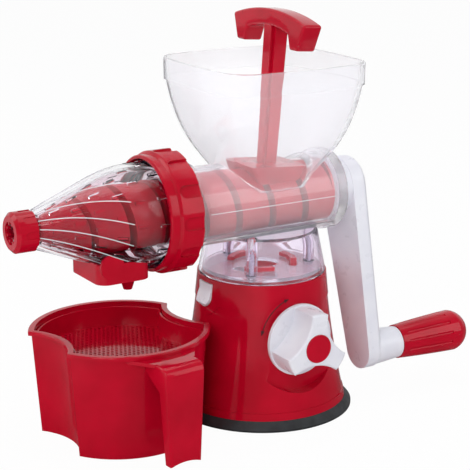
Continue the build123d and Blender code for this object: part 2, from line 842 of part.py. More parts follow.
def auger():
    """Red auger: tapering screw, end disc, journal, square drive and threaded end."""
    length = auger_back - auger_tip + 2 * flight_trim
    screw = Solid.extrude_linear_with_rotation(flight_section(), (0, 0, 0), (0, 0, length),
                                               360 * length / auger_pitch)
    body = auger_envelope() & (Pos(auger_tip - flight_trim, 0, barrel_height) * Rot(0, 90, 0) * screw)
    body += rod_x(auger_radius, auger_back - end_disc, auger_back)
    body += rod_x(journal_radius, auger_back - end_disc / 2, hub_start)
    half = square_size / 2
    body += crank_place(block(hub_start - end_disc / 2, square_end, -half, half,
                              barrel_height - half, barrel_height + half))
    return body - rod_x(crank_thread_radius + screw_gap, square_end - crank_thread_depth, square_end + over)


# ============================================================ crank and grip
def crank_place(shape):
    """Swing a part that was made hanging straight down to the crank's place."""
    return Pos(0, 0, barrel_height) * Rot(-arm_swing, 0, 0) * Pos(0, 0, -barrel_height) * shape


def grip_height():
    """Height of the grip's axis before the crank is swung."""
    return barrel_height - arm_length


def crank_arm():
    """White crank: hub, arm and the boss that the grip's pin sits in."""
    low = grip_height()
    outline = make_hull([*Circle(arm_hub_radius).edges(),
                         *(Pos(arm_length, 0) * Circle(arm_end_radius)).edges()])
    arm = Pos(arm_start, 0, barrel_height) * Rot(0, 90, 0) * extrude(outline, amount=arm_thickness)
    arm = fillet(arm.edges().group_by(Axis.X)[-1], arm_round)
    arm_end = arm_start + arm_thickness
    boss = Pos(arm_end - arm_round, 0, low) * Rot(0, 90, 0) * Cone(
        boss_start_radius, boss_end_radius, boss_end - arm_end + arm_round, align=LOW)
    crank = arm + boss + rod_x(hub_radius, hub_start, arm_start + over)
    half = square_size / 2 + socket_gap
    crank -= block(0, square_end + socket_gap, -half, half, barrel_height - half, barrel_height + half)
    crank -= rod_x(crank_thread_radius + screw_clearance, hub_start, far)
    crank -= rod_x(crank_head_radius + well_gap, arm_end - arm_counterbore, far)
    crank -= rod_x(pin_radius + screw_gap, pin_start, far, 0, low)
    return crank_place(crank)


def crank_screw():
    """Steel screw that holds the crank on the auger."""
    seat = arm_start + arm_thickness - arm_counterbore
    head_end = seat + crank_head_height
    screw = rod_x(crank_thread_radius, square_end - crank_screw_reach, seat)
    screw += rod_x(crank_head_radius, seat, head_end)
    return screw - rod_x(crank_socket_radius, head_end - crank_socket_depth, head_end + over)


def washer_place():
    """X of the washer that keeps the grip on its pin."""
    return grip_cap_start - grip_pocket_length + washer_thickness


def grip_pin():
    """Steel pin that the grip turns on."""
    end = washer_place() + washer_thickness + pin_end
    return crank_place(rod_x(pin_radius, pin_start, end, 0, grip_height()))


def grip_washer():
    """Spring washer pressed on the end of the pin."""
    low = grip_height()
    start = washer_place()
    ring = rod_x(washer_radius, start, start + washer_thickness, 0, low)
    return crank_place(ring - rod_x(pin_radius + screw_gap, start - over, far, 0, low))


def grip_outline():
    """Solid of the grip's outer form about its own axis, which is X."""
    side = ThreePointArc((grip_start, 0, grip_start_radius),
                         ((grip_start + grip_bulge) / 2, 0,
                          (grip_start_radius + grip_bulge_radius) / 2 + grip_belly),
                         (grip_bulge, 0, grip_bulge_radius))
    reach = grip_end - grip_bulge
    dome_radius = (reach ** 2 + grip_bulge_radius ** 2) / (2 * reach)
    dome_middle = grip_end - dome_radius
    half_angle = math.asin(grip_bulge_radius / dome_radius) / 2
    dome = ThreePointArc(side @ 1, (dome_middle + dome_radius * math.cos(half_angle), 0,
                                    dome_radius * math.sin(half_angle)), (grip_end, 0, 0))
    close = Polyline(dome @ 1, (grip_start, 0, 0), side @ 0)
    return revolve(make_face(side + dome + close), Axis.X)


def grip_sleeve():
    """Red fluted grip."""
    body = grip_outline() & rod_x(2 * grip_bulge_radius, grip_start, grip_cap_start, 0, 0)
    lean = math.degrees(math.atan((grip_bulge_radius - grip_start_radius) / (grip_bulge - grip_start)))
    flute_start = grip_start + flute_inset
    flute = Pos(flute_start, 0, grip_start_radius + flute_lift) * Rot(0, 90 - lean, 0) * Cylinder(
        flute_radius, far, align=LOW)
    flute = flute & rod_x(2 * grip_bulge_radius, flute_start, grip_cap_start - flute_inset, 0, 0)
    for number in range(flute_count):
        body -= Rot(number * 360 / flute_count, 0, 0) * flute
    body -= rod_x(pin_radius + shaft_gap, 0, far, 0, 0)
    body -= rod_x(washer_radius + running_gap, grip_cap_start - grip_pocket_length, far, 0, 0)
    return crank_place(Pos(0, 0, grip_height()) * body)


def grip_end_cap():
    """Red domed cap that closes the end of the grip."""
    dome = grip_outline() & rod_x(2 * grip_bulge_radius, grip_cap_start, grip_end + over, 0, 0)
    dome -= rod_x(washer_radius + running_gap, grip_start, grip_cap_start + cap_pocket_length, 0, 0)
    return crank_place(Pos(0, 0, grip_height()) * dome)


# ==================================================================== pusher
def pusher_place(shape):
    """Lean a part that was made upright on the barrel axis."""
    lean = Rot(0, pusher_tilt, 0) * Pos(0, 0, -barrel_height) * shape
    return Pos(pusher_lift_point, 0, barrel_height) * lean


def cross_section(size, height):
    """Cross with thick arms, as an outline at one height."""
    reach = size / 2
    arm = reach * stem_arm_share
    corners = [(reach, -arm), (reach, arm), (arm, arm), (arm, reach), (-arm, reach), (-arm, arm),
               (-reach, arm), (-reach, -arm), (-arm, -arm), (-arm, -reach), (arm, -reach), (arm, -arm)]
    return Face(Wire.make_polygon([Vector(x, y, height) for x, y in corners], close=True))


def pusher_handle():
    """Arched handle across the hopper, with a hook at each end."""
    half = [(handle_half_length, handle_shoulder), (handle_tip_half, handle_tip),
            (hook_inner_half, handle_tip), (handle_inner_half, handle_inner_shoulder)]
    right = [Vector(0, y, z) for y, z in half]
    left = [Vector(0, -y, z) for y, z in half]
    edges = [Edge.make_three_point_arc(left[0], Vector(0, 0, handle_top), right[0])]
    edges += [Edge.make_line(right[number], right[number + 1]) for number in range(3)]
    edges.append(Edge.make_three_point_arc(right[3], Vector(0, 0, handle_under), left[3]))
    edges += [Edge.make_line(left[number], left[number - 1]) for number in (3, 2, 1)]
    outline = Face(Wire(edges))
    handle = extrude(outline, amount=handle_thickness / 2, dir=(1, 0, 0), both=True)
    return fillet(handle.edges(), handle_round)


def pusher():
    """Red pusher: saddle-shaped shoe, cross-section stem and arched handle."""
    shoe_outline = Face(Wire.make_polygon([Vector(-shoe_bottom_half, 0, shoe_bottom),
                                           Vector(shoe_bottom_half, 0, shoe_bottom),
                                           Vector(shoe_top_half, 0, shoe_top),
                                           Vector(-shoe_top_half, 0, shoe_top)], close=True))
    shoe = extrude(shoe_outline, amount=shoe_half_width, dir=(0, 1, 0), both=True)
    shoe = fillet(shoe.edges().filter_by(Axis.Y, reverse=True).filter_by(Axis.X, reverse=True), shoe_round)
    stem_foot = shoe_top - stem_sink
    stem_head = handle_under + stem_head_sink
    stem = loft([cross_section(stem_bottom_size, stem_foot),
                 cross_section(stem_top_size, stem_head)], ruled=True)
    body = pusher_place(shoe + stem + pusher_handle())
    return body - rod_x(auger_radius + running_gap, -far, far)


# ========================================================== lock ring, nose
def lock_ring():
    """Red ring that holds the nose on the barrel, with grip recesses open to the back."""
    bore = collar_radius + running_gap
    lip_back = ring_front + ring_lip_thickness
    body = turned_x((ring_front, ring_mouth_radius), (ring_front, ring_lip_radius - ring_round),
                    (ring_front + ring_round, ring_lip_radius), (ring_step - ring_round, ring_lip_radius),
                    (ring_step, ring_radius - ring_round), (ring_step + ring_round, ring_radius),
                    (ring_back - ring_round, ring_radius), (ring_back, ring_radius - ring_round),
                    (ring_back, bore), (lip_back, bore), (lip_back, ring_mouth_radius))
    recess = extrude(stadium(grip_width, grip_length), amount=grip_width)
    for number in range(grip_count):
        place = Rot(number * 360 / grip_count, 0, 0) * Pos(0, 0, ring_radius - grip_depth)
        cut = place * Pos(ring_back + over, 0, 0) * Rot(0, 0, 180) * recess
        body -= Pos(0, 0, barrel_height) * cut
    return body


def nose_cone():
    """Clear nose: flange, ribbed drum, tapering shell and the threaded tip."""
    shell = nose_body(0, nose_tip, nose_shoulder)
    drum_back = nose_back - nose_flange_thickness
    shoulder_start = nose_shoulder - nose_shoulder_run
    shell += turned_x((shoulder_start, 0), (shoulder_start, nose_drum_radius),
                      (nose_shoulder, nose_shoulder_radius), (drum_back, nose_shoulder_radius),
                      (drum_back, 0))
    shell += rod_x(nose_flange_radius, drum_back, nose_back)
    shell += rod_x(nose_spigot_radius, nose_spigot_end, nose_tip + nose_wall)
    for number in range(drum_rib_count):
        rib = block(drum_rib_start, nose_shoulder, -drum_rib_width / 2, drum_rib_width / 2,
                    nose_drum_radius - nose_wall / 2, nose_shoulder_radius)
        shell += Pos(0, 0, barrel_height) * Rot(number * 360 / drum_rib_count, 0, 0) * rib
    shell -= nose_body(nose_wall, nose_tip + nose_wall, nose_back + over, tip_extra=nose_wall)
    shell -= rod_x(nose_outlet_radius, nose_spigot_end - over, nose_tip + 2 * nose_wall)
    return shell - rod_z(juice_hole_radius, spout_bottom, barrel_height - auger_radius, juice_hole_x)


def nose_gasket():
    """Soft ring between the nose's flange and the barrel."""
    return turned_x((nose_back, nose_flange_radius - gasket_width), (nose_back, nose_flange_radius),
                    (collar_front, nose_flange_radius), (collar_front, nose_flange_radius - gasket_width))


def strainer_cone():
    """Slotted strainer round the tip of the auger, inside the nose."""
    inset = nose_wall + juice_gap
    inner_inset = inset + strainer_wall
    shell = nose_body(inset, strainer_front, nose_back)
    shell += rod_x(nose_drum_radius - nose_wall - running_gap, nose_back - strainer_foot_thickness, nose_back)
    shell -= nose_body(inner_inset, strainer_front - over, nose_back + over)
    slots = []
    for row in range(slot_rows):
        middle = slot_first + row * slot_row_pitch
        for number in range(slot_count):
            angle = (number + 0.5 * (row % 2)) * 360 / slot_count
            slot = block(middle - slot_length / 2, middle + slot_length / 2, -slot_width / 2, slot_width / 2,
                         nose_outlet_radius, nose_drum_radius)
            slots.append(Pos(0, 0, barrel_height) * Rot(angle, 0, 0) * slot)
    return shell - slots


def pulp_cap():
    """Red cap on the tip of the nose, with a toothed outlet for the pulp."""
    bore = nose_spigot_radius + running_gap
    skirt_bore = cap_radius - cap_skirt_wall
    body = turned_x((cap_front, cap_mouth_radius), (cap_front, cap_radius - cap_round),
                    (cap_front + cap_round, cap_radius), (cap_back, cap_radius), (cap_back, skirt_bore),
                    (nose_tip - running_gap, skirt_bore), (nose_tip - running_gap, bore),
                    (nose_spigot_end - running_gap, bore), (nose_spigot_end - running_gap, cap_mouth_radius))
    for number in range(cap_tooth_count):
        tooth = block(cap_front + cap_tooth_inset, nose_spigot_end - running_gap,
                      -cap_tooth_width / 2, cap_tooth_width / 2, nose_outlet_radius, cap_mouth_radius + over)
        body += Pos(0, 0, barrel_height) * Rot((number + 0.5) * 360 / cap_tooth_count, 0, 0) * tooth
    recess = extrude(stadium(cap_grip_width, cap_grip_length), amount=cap_grip_width)
    for number in range(cap_grip_count):
        cut = Pos(cap_back + over, 0, cap_radius - cap_grip_depth) * Rot(0, 0, 180) * recess
        body -= Pos(0, 0, barrel_height) * Rot(number * 360 / cap_grip_count, 0, 0) * cut
    return body


def juice_spout():
    """Red box under the nose that gathers the juice and drips it into the cup."""
    length = spout_right - spout_left
    middle = (spout_left + spout_right) / 2
    outer = Pos(middle, 0, spout_bottom) * extrude(
        RectangleRounded(length, 2 * spout_half_width, spout_corner), amount=spout_top - spout_bottom)
    cavity_length = length - 2 * spout_wall
    cavity = Pos(middle, 0, spout_bottom + spout_wall) * extrude(
        RectangleRounded(cavity_length, 2 * (spout_half_width - spout_wall), spout_corner - spout_wall),
        amount=spout_top)
    arch_radius = spout_arch_width / 2
    arch = rod_y(arch_radius, -spout_half_width, -spout_half_width + spout_wall,
                 spout_arch_x, spout_arch_top - arch_radius)
    drip = rod_z(drip_radius, drip_shoulder, spout_bottom + spout_wall / 2, drip_x)
    drip += Pos(drip_x, 0, drip_tip) * Cone(drip_bore + drip_lip, drip_radius,
                                            drip_shoulder - drip_tip, align=LOW)
    body = outer - cavity + arch + drip - rod_z(drip_bore, 0, barrel_height, drip_x)
    return body - nose_body(-running_gap, nose_tip, nose_shoulder)


# ================================================================ juice cup
def cup_body(bottom, top, inset=0.0, flange=0.0):
    """Tapered round body of the cup with a hollow on each side along X, moved in by inset."""
    low_radius, high_radius = cup_radius(bottom) + flange, cup_radius(top) + flange
    body = Pos(cup_x, cup_y, 0) * turned_z((0, bottom), (low_radius - inset, bottom),
                                           (high_radius - inset, top), (0, top))
    for side in (-1, 1):
        rings = []
        for height in (bottom - over, top + over):
            distance = cup_radius(height) + flange - notch_depth + notch_radius
            place = Plane((cup_x + side * distance, cup_y, height))
            rings.append(Face(Wire.make_circle(notch_radius + inset, place)))
        body -= loft(rings, ruled=True)
    return body


def cup_place(shape):
    """Turn a part of the cup a little about its own upright axis."""
    return Pos(cup_x, cup_y, 0) * Rot(0, 0, cup_turn) * Pos(-cup_x, -cup_y, 0) * shape


def cup_radius(height):
    """Outer radius of the cup's wall."""
    return cup_bottom_radius + (cup_top_radius - cup_bottom_radius) * height / cup_height


def juice_cup():
    """Red cup with a rim flange, two hollows in its sides and a hanging handle."""
    ledge_height = basket_floor - running_gap
    rim = cup_body(cup_height - cup_rim_thickness, cup_height, flange=cup_rim_radius - cup_top_radius)
    rim = fillet(rim.edges().group_by(Axis.Z)[-1], cup_rim_round)
    body = cup_body(0, cup_height) + cup_handle() + rim
    below_ledge = cup_body(cup_floor, ledge_height + over, cup_wall + ledge_step)
    above_ledge = cup_body(ledge_height, cup_height + over, cup_wall)
    return cup_place(body - below_ledge - above_ledge)


def handle_wedge(inset):
    """The handle's width seen from the front, narrower downwards, moved in by inset."""
    high = cup_handle_width / 2 - inset
    low = cup_handle_low_width / 2 - inset
    corners = [(-high, cup_height), (high, cup_height), (low, 0), (-low, 0)]
    outline = Face(Wire.make_polygon([Vector(cup_x + x, cup_y, z) for x, z in corners], close=True))
    return extrude(outline, amount=far, dir=(0, -1, 0))


def handle_side(rounding, *corners):
    """Form across the handle from (y, z) corners, rounded at the shoulder."""
    outline = Face(Wire.make_polygon([Vector(cup_x, y, z) for y, z in corners], close=True))
    body = extrude(outline, amount=cup_handle_width, dir=(1, 0, 0), both=True)
    shoulder = body.edges().filter_by(Axis.X).group_by(Axis.Y)[0].sort_by(Axis.Z)[-1]
    return fillet(shoulder, rounding)


def handle_flare():
    """Plate below the rim, from which the strap grows out in two hollow curves."""
    wall_y = cup_y - cup_radius(cup_height)
    root_y = wall_y + flare_reach
    neck_y = wall_y - flare_reach
    half = cup_handle_width / 2
    sides = []
    for side in (-1, 1):
        sides.append([Vector(cup_x + side * x, y, cup_handle_top)
                      for x, y in ((flare_half, root_y), (flare_neck, wall_y - flare_reach / 2),
                                   (half, neck_y))])
    left, right = sides
    outline = Face(Wire([Edge.make_three_point_arc(*left), Edge.make_line(left[2], right[2]),
                         Edge.make_three_point_arc(*reversed(right)), Edge.make_line(right[0], left[0])]))
    return extrude(outline, amount=flare_thickness, dir=(0, 0, -1))


def cup_handle():
    """Channel-shaped strap that hangs from the rim, free at its lower end."""
    wall_y = cup_y - cup_radius(gusset_high)
    inner_y = cup_handle_face + cup_handle_wall
    inner_top = cup_handle_top - cup_handle_wall
    body = handle_side(cup_handle_round, (cup_handle_face, cup_handle_bottom),
                       (cup_handle_face + cup_handle_low_depth, cup_handle_bottom),
                       (cup_handle_face + cup_handle_depth, gusset_low), (wall_y, gusset_high),
                       (cup_y, gusset_high), (cup_y, cup_handle_top), (cup_handle_face, cup_handle_top))
    body = body & handle_wedge(0)
    long_edges = body.edges().group_by(Axis.Y)[0].filter_by(Axis.X, reverse=True)
    body = fillet(long_edges, cup_handle_edge)
    hollow = handle_side(cup_handle_round - cup_handle_wall, (inner_y, 0), (cup_y, 0), (cup_y, inner_top),
                         (inner_y, inner_top))
    body -= hollow & handle_wedge(cup_handle_wall)
    arc_radius = ((cup_handle_low_width / 2) ** 2 + cup_handle_notch ** 2) / (2 * cup_handle_notch)
    body -= rod_y(arc_radius, cup_handle_face - over, cup_y, cup_x,
                  cup_handle_bottom + cup_handle_notch - arc_radius)
    return body + handle_flare() - cup_body(0, cup_height, cup_wall / 2)


def cup_strainer():
    """Red strainer basket in the top of the cup, with its perforated floor."""
    top = cup_height - basket_below_rim
    inset = cup_wall + basket_gap
    inner_bottom = basket_floor + basket_floor_thickness
    basket = cup_body(basket_floor, top, inset) - cup_body(inner_bottom, top + over, inset + basket_wall)
    reach = cup_radius(basket_floor) - inset - basket_wall - mesh_margin
    holes = [Pos(x, y, basket_floor - over) * Circle(mesh_hole_radius) for x, y in mesh_places(reach)]
    drill = extrude(Sketch(children=[face for hole in holes for face in hole.faces()]),
                    amount=basket_floor_thickness + 2 * over)
    return cup_place(basket - drill)


def mesh_places(reach):
    """Centres of the strainer's holes: a staggered grid inside the basket's floor."""
    row_pitch = mesh_pitch * math.sqrt(3) / 2
    rows = int(reach / row_pitch)
    columns = int(reach / mesh_pitch) + 1
    notch_middle = cup_radius(basket_floor) - notch_depth + notch_radius
    notch_reach = notch_radius + cup_wall + basket_gap + basket_wall + mesh_margin
    places = []
    for row in range(-rows, rows + 1):
        for column in range(-columns, columns + 1):
            x = (column + 0.5 * (row % 2)) * mesh_pitch
            y = row * row_pitch
            if math.hypot(x, y) < reach and math.hypot(abs(x) - notch_middle, y) > notch_reach:
                places.append((cup_x + x, cup_y + y))
    return places


# =================================================================== output
subparts = [suction_rim, suction_membrane, suction_stem, base_plate, base_screws, base_shell, base_deck,
            knob_shaft, suction_knob, knob_disc, knob_screw, release_tab,
            stand_skirt, bayonet_plate, bayonet_screws, barrel, rear_bush, hopper,
            auger, crank_arm, crank_screw, grip_pin, grip_washer, grip_sleeve, grip_end_cap, pusher,
            lock_ring, nose_cone, nose_gasket, strainer_cone, pulp_cap, juice_spout,
            juice_cup, cup_strainer]


def main():
    """Write one STEP file for each sub-part."""
    os.makedirs("parts", exist_ok=True)
    for make in subparts:
        export_step(make(), f"parts/{make.__name__}.step")


if __name__ == "__main__":
    main()
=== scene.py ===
"""Hand-cranked wheatgrass juicer with its cup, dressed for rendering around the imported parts.

Every piece is in metres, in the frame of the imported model: the origin is the middle of
the suction foot on the table, the crank is at +X, the pulp outlet at -X and the suction
knob faces -Y. Real sizes are written in millimetres and scaled by MM.
"""
import math

import bmesh
import bpy
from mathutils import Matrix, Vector
from mathutils.bvhtree import BVHTree


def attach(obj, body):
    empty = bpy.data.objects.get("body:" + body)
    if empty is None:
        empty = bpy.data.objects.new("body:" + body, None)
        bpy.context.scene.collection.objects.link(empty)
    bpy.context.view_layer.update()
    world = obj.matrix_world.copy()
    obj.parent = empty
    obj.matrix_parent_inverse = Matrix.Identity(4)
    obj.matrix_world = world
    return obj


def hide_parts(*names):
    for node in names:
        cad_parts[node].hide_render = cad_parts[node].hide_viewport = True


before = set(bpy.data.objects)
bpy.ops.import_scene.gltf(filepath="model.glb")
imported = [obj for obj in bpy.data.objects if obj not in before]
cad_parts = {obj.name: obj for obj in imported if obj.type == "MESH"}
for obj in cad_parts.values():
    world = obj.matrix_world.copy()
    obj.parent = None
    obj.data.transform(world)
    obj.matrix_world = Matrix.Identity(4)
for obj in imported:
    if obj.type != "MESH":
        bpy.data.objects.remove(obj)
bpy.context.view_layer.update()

bl_info = {
    "name": "Wheatgrass juicer",
    "version": (1, 0, 0),
    "blender": (4, 5, 0),
    "location": "3D View > Sidebar > Juicer",
    "description": "Dresses the packed juicer: moulded plastics, clear hopper, basket, marks and stage",
    "category": "Object",
}

MM = 0.001
BARREL_HEIGHT = 151.7          # axis of the auger above the table
CREASE_ANGLE = math.radians(26)    # edges sharper than this stay sharp

# Juice cup and its strainer basket, in millimetres, as they are packed.
CUP_X, CUP_Y = -112.0, 3.9
CUP_TURN = math.radians(3.5)
CUP_HEIGHT = 73.5
CUP_TOP_RADIUS, CUP_BOTTOM_RADIUS = 59.6, 54.6
HOLLOW_RADIUS, HOLLOW_DEPTH = 44.0, 15.5
BASKET_INSET = 2.4             # from the cup's outer face to the basket's
BASKET_WALL = 1.4
BASKET_BOTTOM, BASKET_TOP = 55.0, 70.1
BASKET_LIP = 0.4               # rounding of its upper edge
BASKET_CORNERS = 180           # corners of its outline
FLOOR_OVERLAP = 0.1            # of the perforated floor and the wall
HOLE_ROWS = 44                 # rows of holes before the outline trims them

# Swirling ribs on the nose and parting lines along the barrel, in millimetres and degrees.
RIB_COUNT, RIB_STEPS = 14, 28
RIB_THICKNESS = 0.7
RIB_START, RIB_END = -175.0, -118.0    # along the barrel's axis
RIB_TURN, RIB_SWIRL = 12.0, 34.0       # where the first one starts, and how far each turns
PROBE_REACH = 80.0                     # outside the nose, where its face is looked for
SEAM_RADIUS, SEAM_THICKNESS = 27.0, 0.5
SEAM_START, SEAM_END = -57.0, 45.0

# Turning mark round the suction knob's seat, in millimetres and degrees.
KNOB_HEIGHT, KNOB_SEAT = 60.25, -47.6
MARK_RADIUS = 31.0
MARK_START, MARK_END = 112.0, 160.0
MARK_HALF_WIDTH, MARK_HALF_HEAD, MARK_HALF_TIP = 0.35, 1.5, 0.05
MARK_HEAD_LENGTH = 2.4 * MARK_HALF_HEAD
MARK_THICKNESS = 0.12
MARK_STEPS = 24

# Places and sizes of the softboxes in metres, and the point they face.
LIGHT_AIM = (-0.02, 0, 0.13)
KEY_PLACE, KEY_SIZE = (-1.35, -1.25, 1.05), (1.0, 1.4)
FILL_PLACE, FILL_SIZE = (1.1, -1.4, 0.8), (0.9, 1.2)
TOP_PLACE, TOP_SIZE = (0.1, 0.2, 1.7), (1.6, 1.2)
BACK_PLACE, BACK_SIZE = (-1.4, 0.9, 0.9), (0.8, 1.0)

# Viewpoint in millimetres, and the direction in which it looks.
CAMERA_PLACE = (-554.43, -872.62, 407.52)
CAMERA_FORWARD = (0.502, 0.823, -0.265)
CAMERA_LENS = 116.15
CAMERA_SENSOR = 36.0

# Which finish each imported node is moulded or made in.
RED_NODES = ("base_shell", "base_deck", "knob_disc", "auger", "grip_sleeve", "grip_end_cap",
             "pusher", "lock_ring", "pulp_cap", "juice_spout", "juice_cup", "cup_strainer")
WHITE_NODES = ("suction_stem", "base_plate", "knob_shaft", "suction_knob", "release_tab",
               "rear_bush", "crank_arm")
BOWL_NODES = ("barrel", "hopper", "bayonet_plate")
SKIRT_NODES = ("stand_skirt",)
NOSE_NODES = ("nose_cone",)
STRAINER_NODES = ("strainer_cone",)
RUBBER_NODES = ("suction_rim", "suction_membrane")
GASKET_NODES = ("nose_gasket",)
STEEL_NODES = ("base_screws", "knob_screw", "bayonet_screws", "crank_screw", "grip_pin",
               "grip_washer")


# ================================================================= colours and nodes
def linear(text, alpha=1.0):
    """Linear colour of an sRGB hex value."""
    channels = []
    for start in (1, 3, 5):
        value = int(text[start:start + 2], 16) / 255
        channels.append(value / 12.92 if value <= 0.04045 else ((value + 0.055) / 1.055) ** 2.4)
    return (*channels, alpha)


def add(tree, kind, links=None, **settings):
    """Add a node to a tree: settings are its properties or, with a leading "in_", socket values."""
    node = tree.nodes.new(kind)
    for name, value in settings.items():
        if name.startswith("in_"):
            node.inputs[name[3:].replace("_", " ")].default_value = value
        else:
            setattr(node, name, value)
    for socket, source in (links or {}).items():
        tree.links.new(source, node.inputs[socket])
    return node


def new_material(name):
    """Empty node material with its output; returns the material, the tree and the output."""
    material = bpy.data.materials.new(name)
    material.use_nodes = True
    tree = material.node_tree
    tree.nodes.clear()
    output = tree.nodes.new("ShaderNodeOutputMaterial")
    return material, tree, output


def speckle(tree, size_mm, detail=2.0):
    """Noise on Object coordinates whose features are about size_mm across."""
    place = add(tree, "ShaderNodeTexCoord")
    return add(tree, "ShaderNodeTexNoise", {"Vector": place.outputs["Object"]},
               in_Scale=1000.0 / size_mm, in_Detail=detail)


def spread(tree, source, low, high):
    """Map the usual range of a noise's value, 0.3 to 0.7, to low..high."""
    node = add(tree, "ShaderNodeMapRange", {"Value": source}, clamp=True,
               in_From_Min=0.3, in_From_Max=0.7, in_To_Min=low, in_To_Max=high)
    return node.outputs["Result"]


def moulded(name, colour, shade, flow_mm, rough_low, rough_high, grain_mm, grain_depth_mm,
            specular=0.5):
    """Moulded plastic or rubber: faint flow clouding, uneven gloss and a very shallow grain."""
    material, tree, output = new_material(name)
    flow = speckle(tree, flow_mm)
    tint = add(tree, "ShaderNodeMix", {"Factor": spread(tree, flow.outputs["Fac"], 0.0, 1.0)},
               data_type="RGBA")
    tint.inputs[6].default_value = colour
    tint.inputs[7].default_value = shade
    wear = speckle(tree, flow_mm * 0.45, 3.0)
    grain = speckle(tree, grain_mm, 1.0)
    bump = add(tree, "ShaderNodeBump", {"Height": grain.outputs["Fac"]}, in_Strength=1.0,
               in_Distance=grain_depth_mm * MM)
    shader = add(tree, "ShaderNodeBsdfPrincipled",
                 {"Base Color": tint.outputs[2],
                  "Roughness": spread(tree, wear.outputs["Fac"], rough_low, rough_high),
                  "Normal": bump.outputs["Normal"]}, in_IOR=1.5, in_Specular_IOR_Level=specular)
    tree.links.new(shader.outputs["BSDF"], output.inputs["Surface"])
    return material


def red_abs():
    """Crimson ABS, injection moulded in a polished tool.

    The real one is opaque with a wet-looking gloss; the polish of the tool leaves soft
    highlights with a hint of orange peel and slightly darker flow marks.
    """
    colours = bpy.context.scene.juicer_colours
    return moulded("crimson_abs_polished", (*colours.red, 1), (*colours.red_shade, 1),
                   flow_mm=26.0, rough_low=0.05, rough_high=0.12, grain_mm=1.6, grain_depth_mm=0.006,
                   specular=0.22)


def white_abs():
    """White ABS, injection moulded; semi-gloss, so its highlights are wider than on the red."""
    colours = bpy.context.scene.juicer_colours
    return moulded("white_abs_moulded", (*colours.white, 1), (*colours.white_shade, 1),
                   flow_mm=22.0, rough_low=0.26, rough_high=0.38, grain_mm=1.1, grain_depth_mm=0.014)


def black_rubber():
    """Black rubber of the suction foot: moulded, matt, with a dusty bloom and a fine grain."""
    return moulded("black_rubber_moulded", linear("#1C1F21"), linear("#2B2F32"),
                   flow_mm=9.0, rough_low=0.5, rough_high=0.68, grain_mm=0.8, grain_depth_mm=0.03)


def soft_gasket():
    """Translucent white silicone of the nose's sealing ring; waxy, with a soft sheen."""
    return moulded("silicone_gasket", linear("#D9D9DE"), linear("#C9C9D2"),
                   flow_mm=6.0, rough_low=0.4, rough_high=0.55, grain_mm=0.7, grain_depth_mm=0.01,
                   specular=0.4)


def mark_ink():
    """Dark red ink of the turning mark, pad-printed: matt against the gloss round it."""
    return moulded("mark_ink_printed", linear("#4A0610"), linear("#3A040C"),
                   flow_mm=3.0, rough_low=0.42, rough_high=0.55, grain_mm=0.5, grain_depth_mm=0.004,
                   specular=0.4)


def clear_plastic(name, clearness, scuff, shadow, tint="#FAFAFC", ior=1.3):
    """Clear SAN, moulded in a polished tool.

    It is nearly colourless with a faint lavender cast and very smooth, with the slight
    milkiness of handled plastic: clearness is the share of light that isn't scattered by it,
    and scuff its highest roughness. Lamps pass through it in the colour shadow, so what is
    inside stays lit. SAN's own IOR of 1.57 makes the nested walls cloud over, so ior is lower.
    """
    material, tree, output = new_material(name)
    haze = speckle(tree, 14.0, 3.0)
    flow = speckle(tree, 30.0, 1.0)
    bump = add(tree, "ShaderNodeBump", {"Height": flow.outputs["Fac"]}, in_Strength=1.0,
               in_Distance=0.04 * MM)
    shader = add(tree, "ShaderNodeBsdfPrincipled",
                 {"Roughness": spread(tree, haze.outputs["Fac"], 0.01, scuff),
                  "Normal": bump.outputs["Normal"]},
                 in_IOR=ior, in_Transmission_Weight=clearness)
    shader.inputs["Base Color"].default_value = linear(tint)
    lamps_through = add(tree, "ShaderNodeBsdfTransparent")
    lamps_through.inputs["Color"].default_value = linear(shadow)
    path = add(tree, "ShaderNodeLightPath")
    mix = add(tree, "ShaderNodeMixShader", {0: path.outputs["Is Shadow Ray"],
                                            1: shader.outputs["BSDF"],
                                            2: lamps_through.outputs["BSDF"]})
    tree.links.new(mix.outputs["Shader"], output.inputs["Surface"])
    return material


def plated_steel():
    """Zinc-plated steel of the small screws and the grip's pin: bright, with a drawn grain."""
    material, tree, output = new_material("zinc_plated_steel")
    grain = speckle(tree, 0.9, 2.0)
    shader = add(tree, "ShaderNodeBsdfPrincipled",
                 {"Roughness": spread(tree, grain.outputs["Fac"], 0.22, 0.38)}, in_Metallic=1.0)
    tone = add(tree, "ShaderNodeMix", {"Factor": grain.outputs["Fac"]}, data_type="RGBA")
    tone.inputs[6].default_value = linear("#B9BBC0")
    tone.inputs[7].default_value = linear("#D5D6DA")
    tree.links.new(tone.outputs[2], shader.inputs["Base Color"])
    tree.links.new(shader.outputs["BSDF"], output.inputs["Surface"])
    return material


# ================================================================= softened facets
def sized_input(tree, name, value, kind="NodeSocketFloat"):
    """Named input of a geometry-nodes tree."""
    socket = tree.interface.new_socket(name, in_out="INPUT", socket_type=kind)
    socket.default_value = value


def new_tree(name):
    """Geometry-nodes tree with a geometry input and output."""
    tree = bpy.data.node_groups.new(name, "GeometryNodeTree")
    tree.interface.new_socket("Geometry", in_out="INPUT", socket_type="NodeSocketGeometry")
    tree.interface.new_socket("Geometry", in_out="OUTPUT", socket_type="NodeSocketGeometry")
    return tree


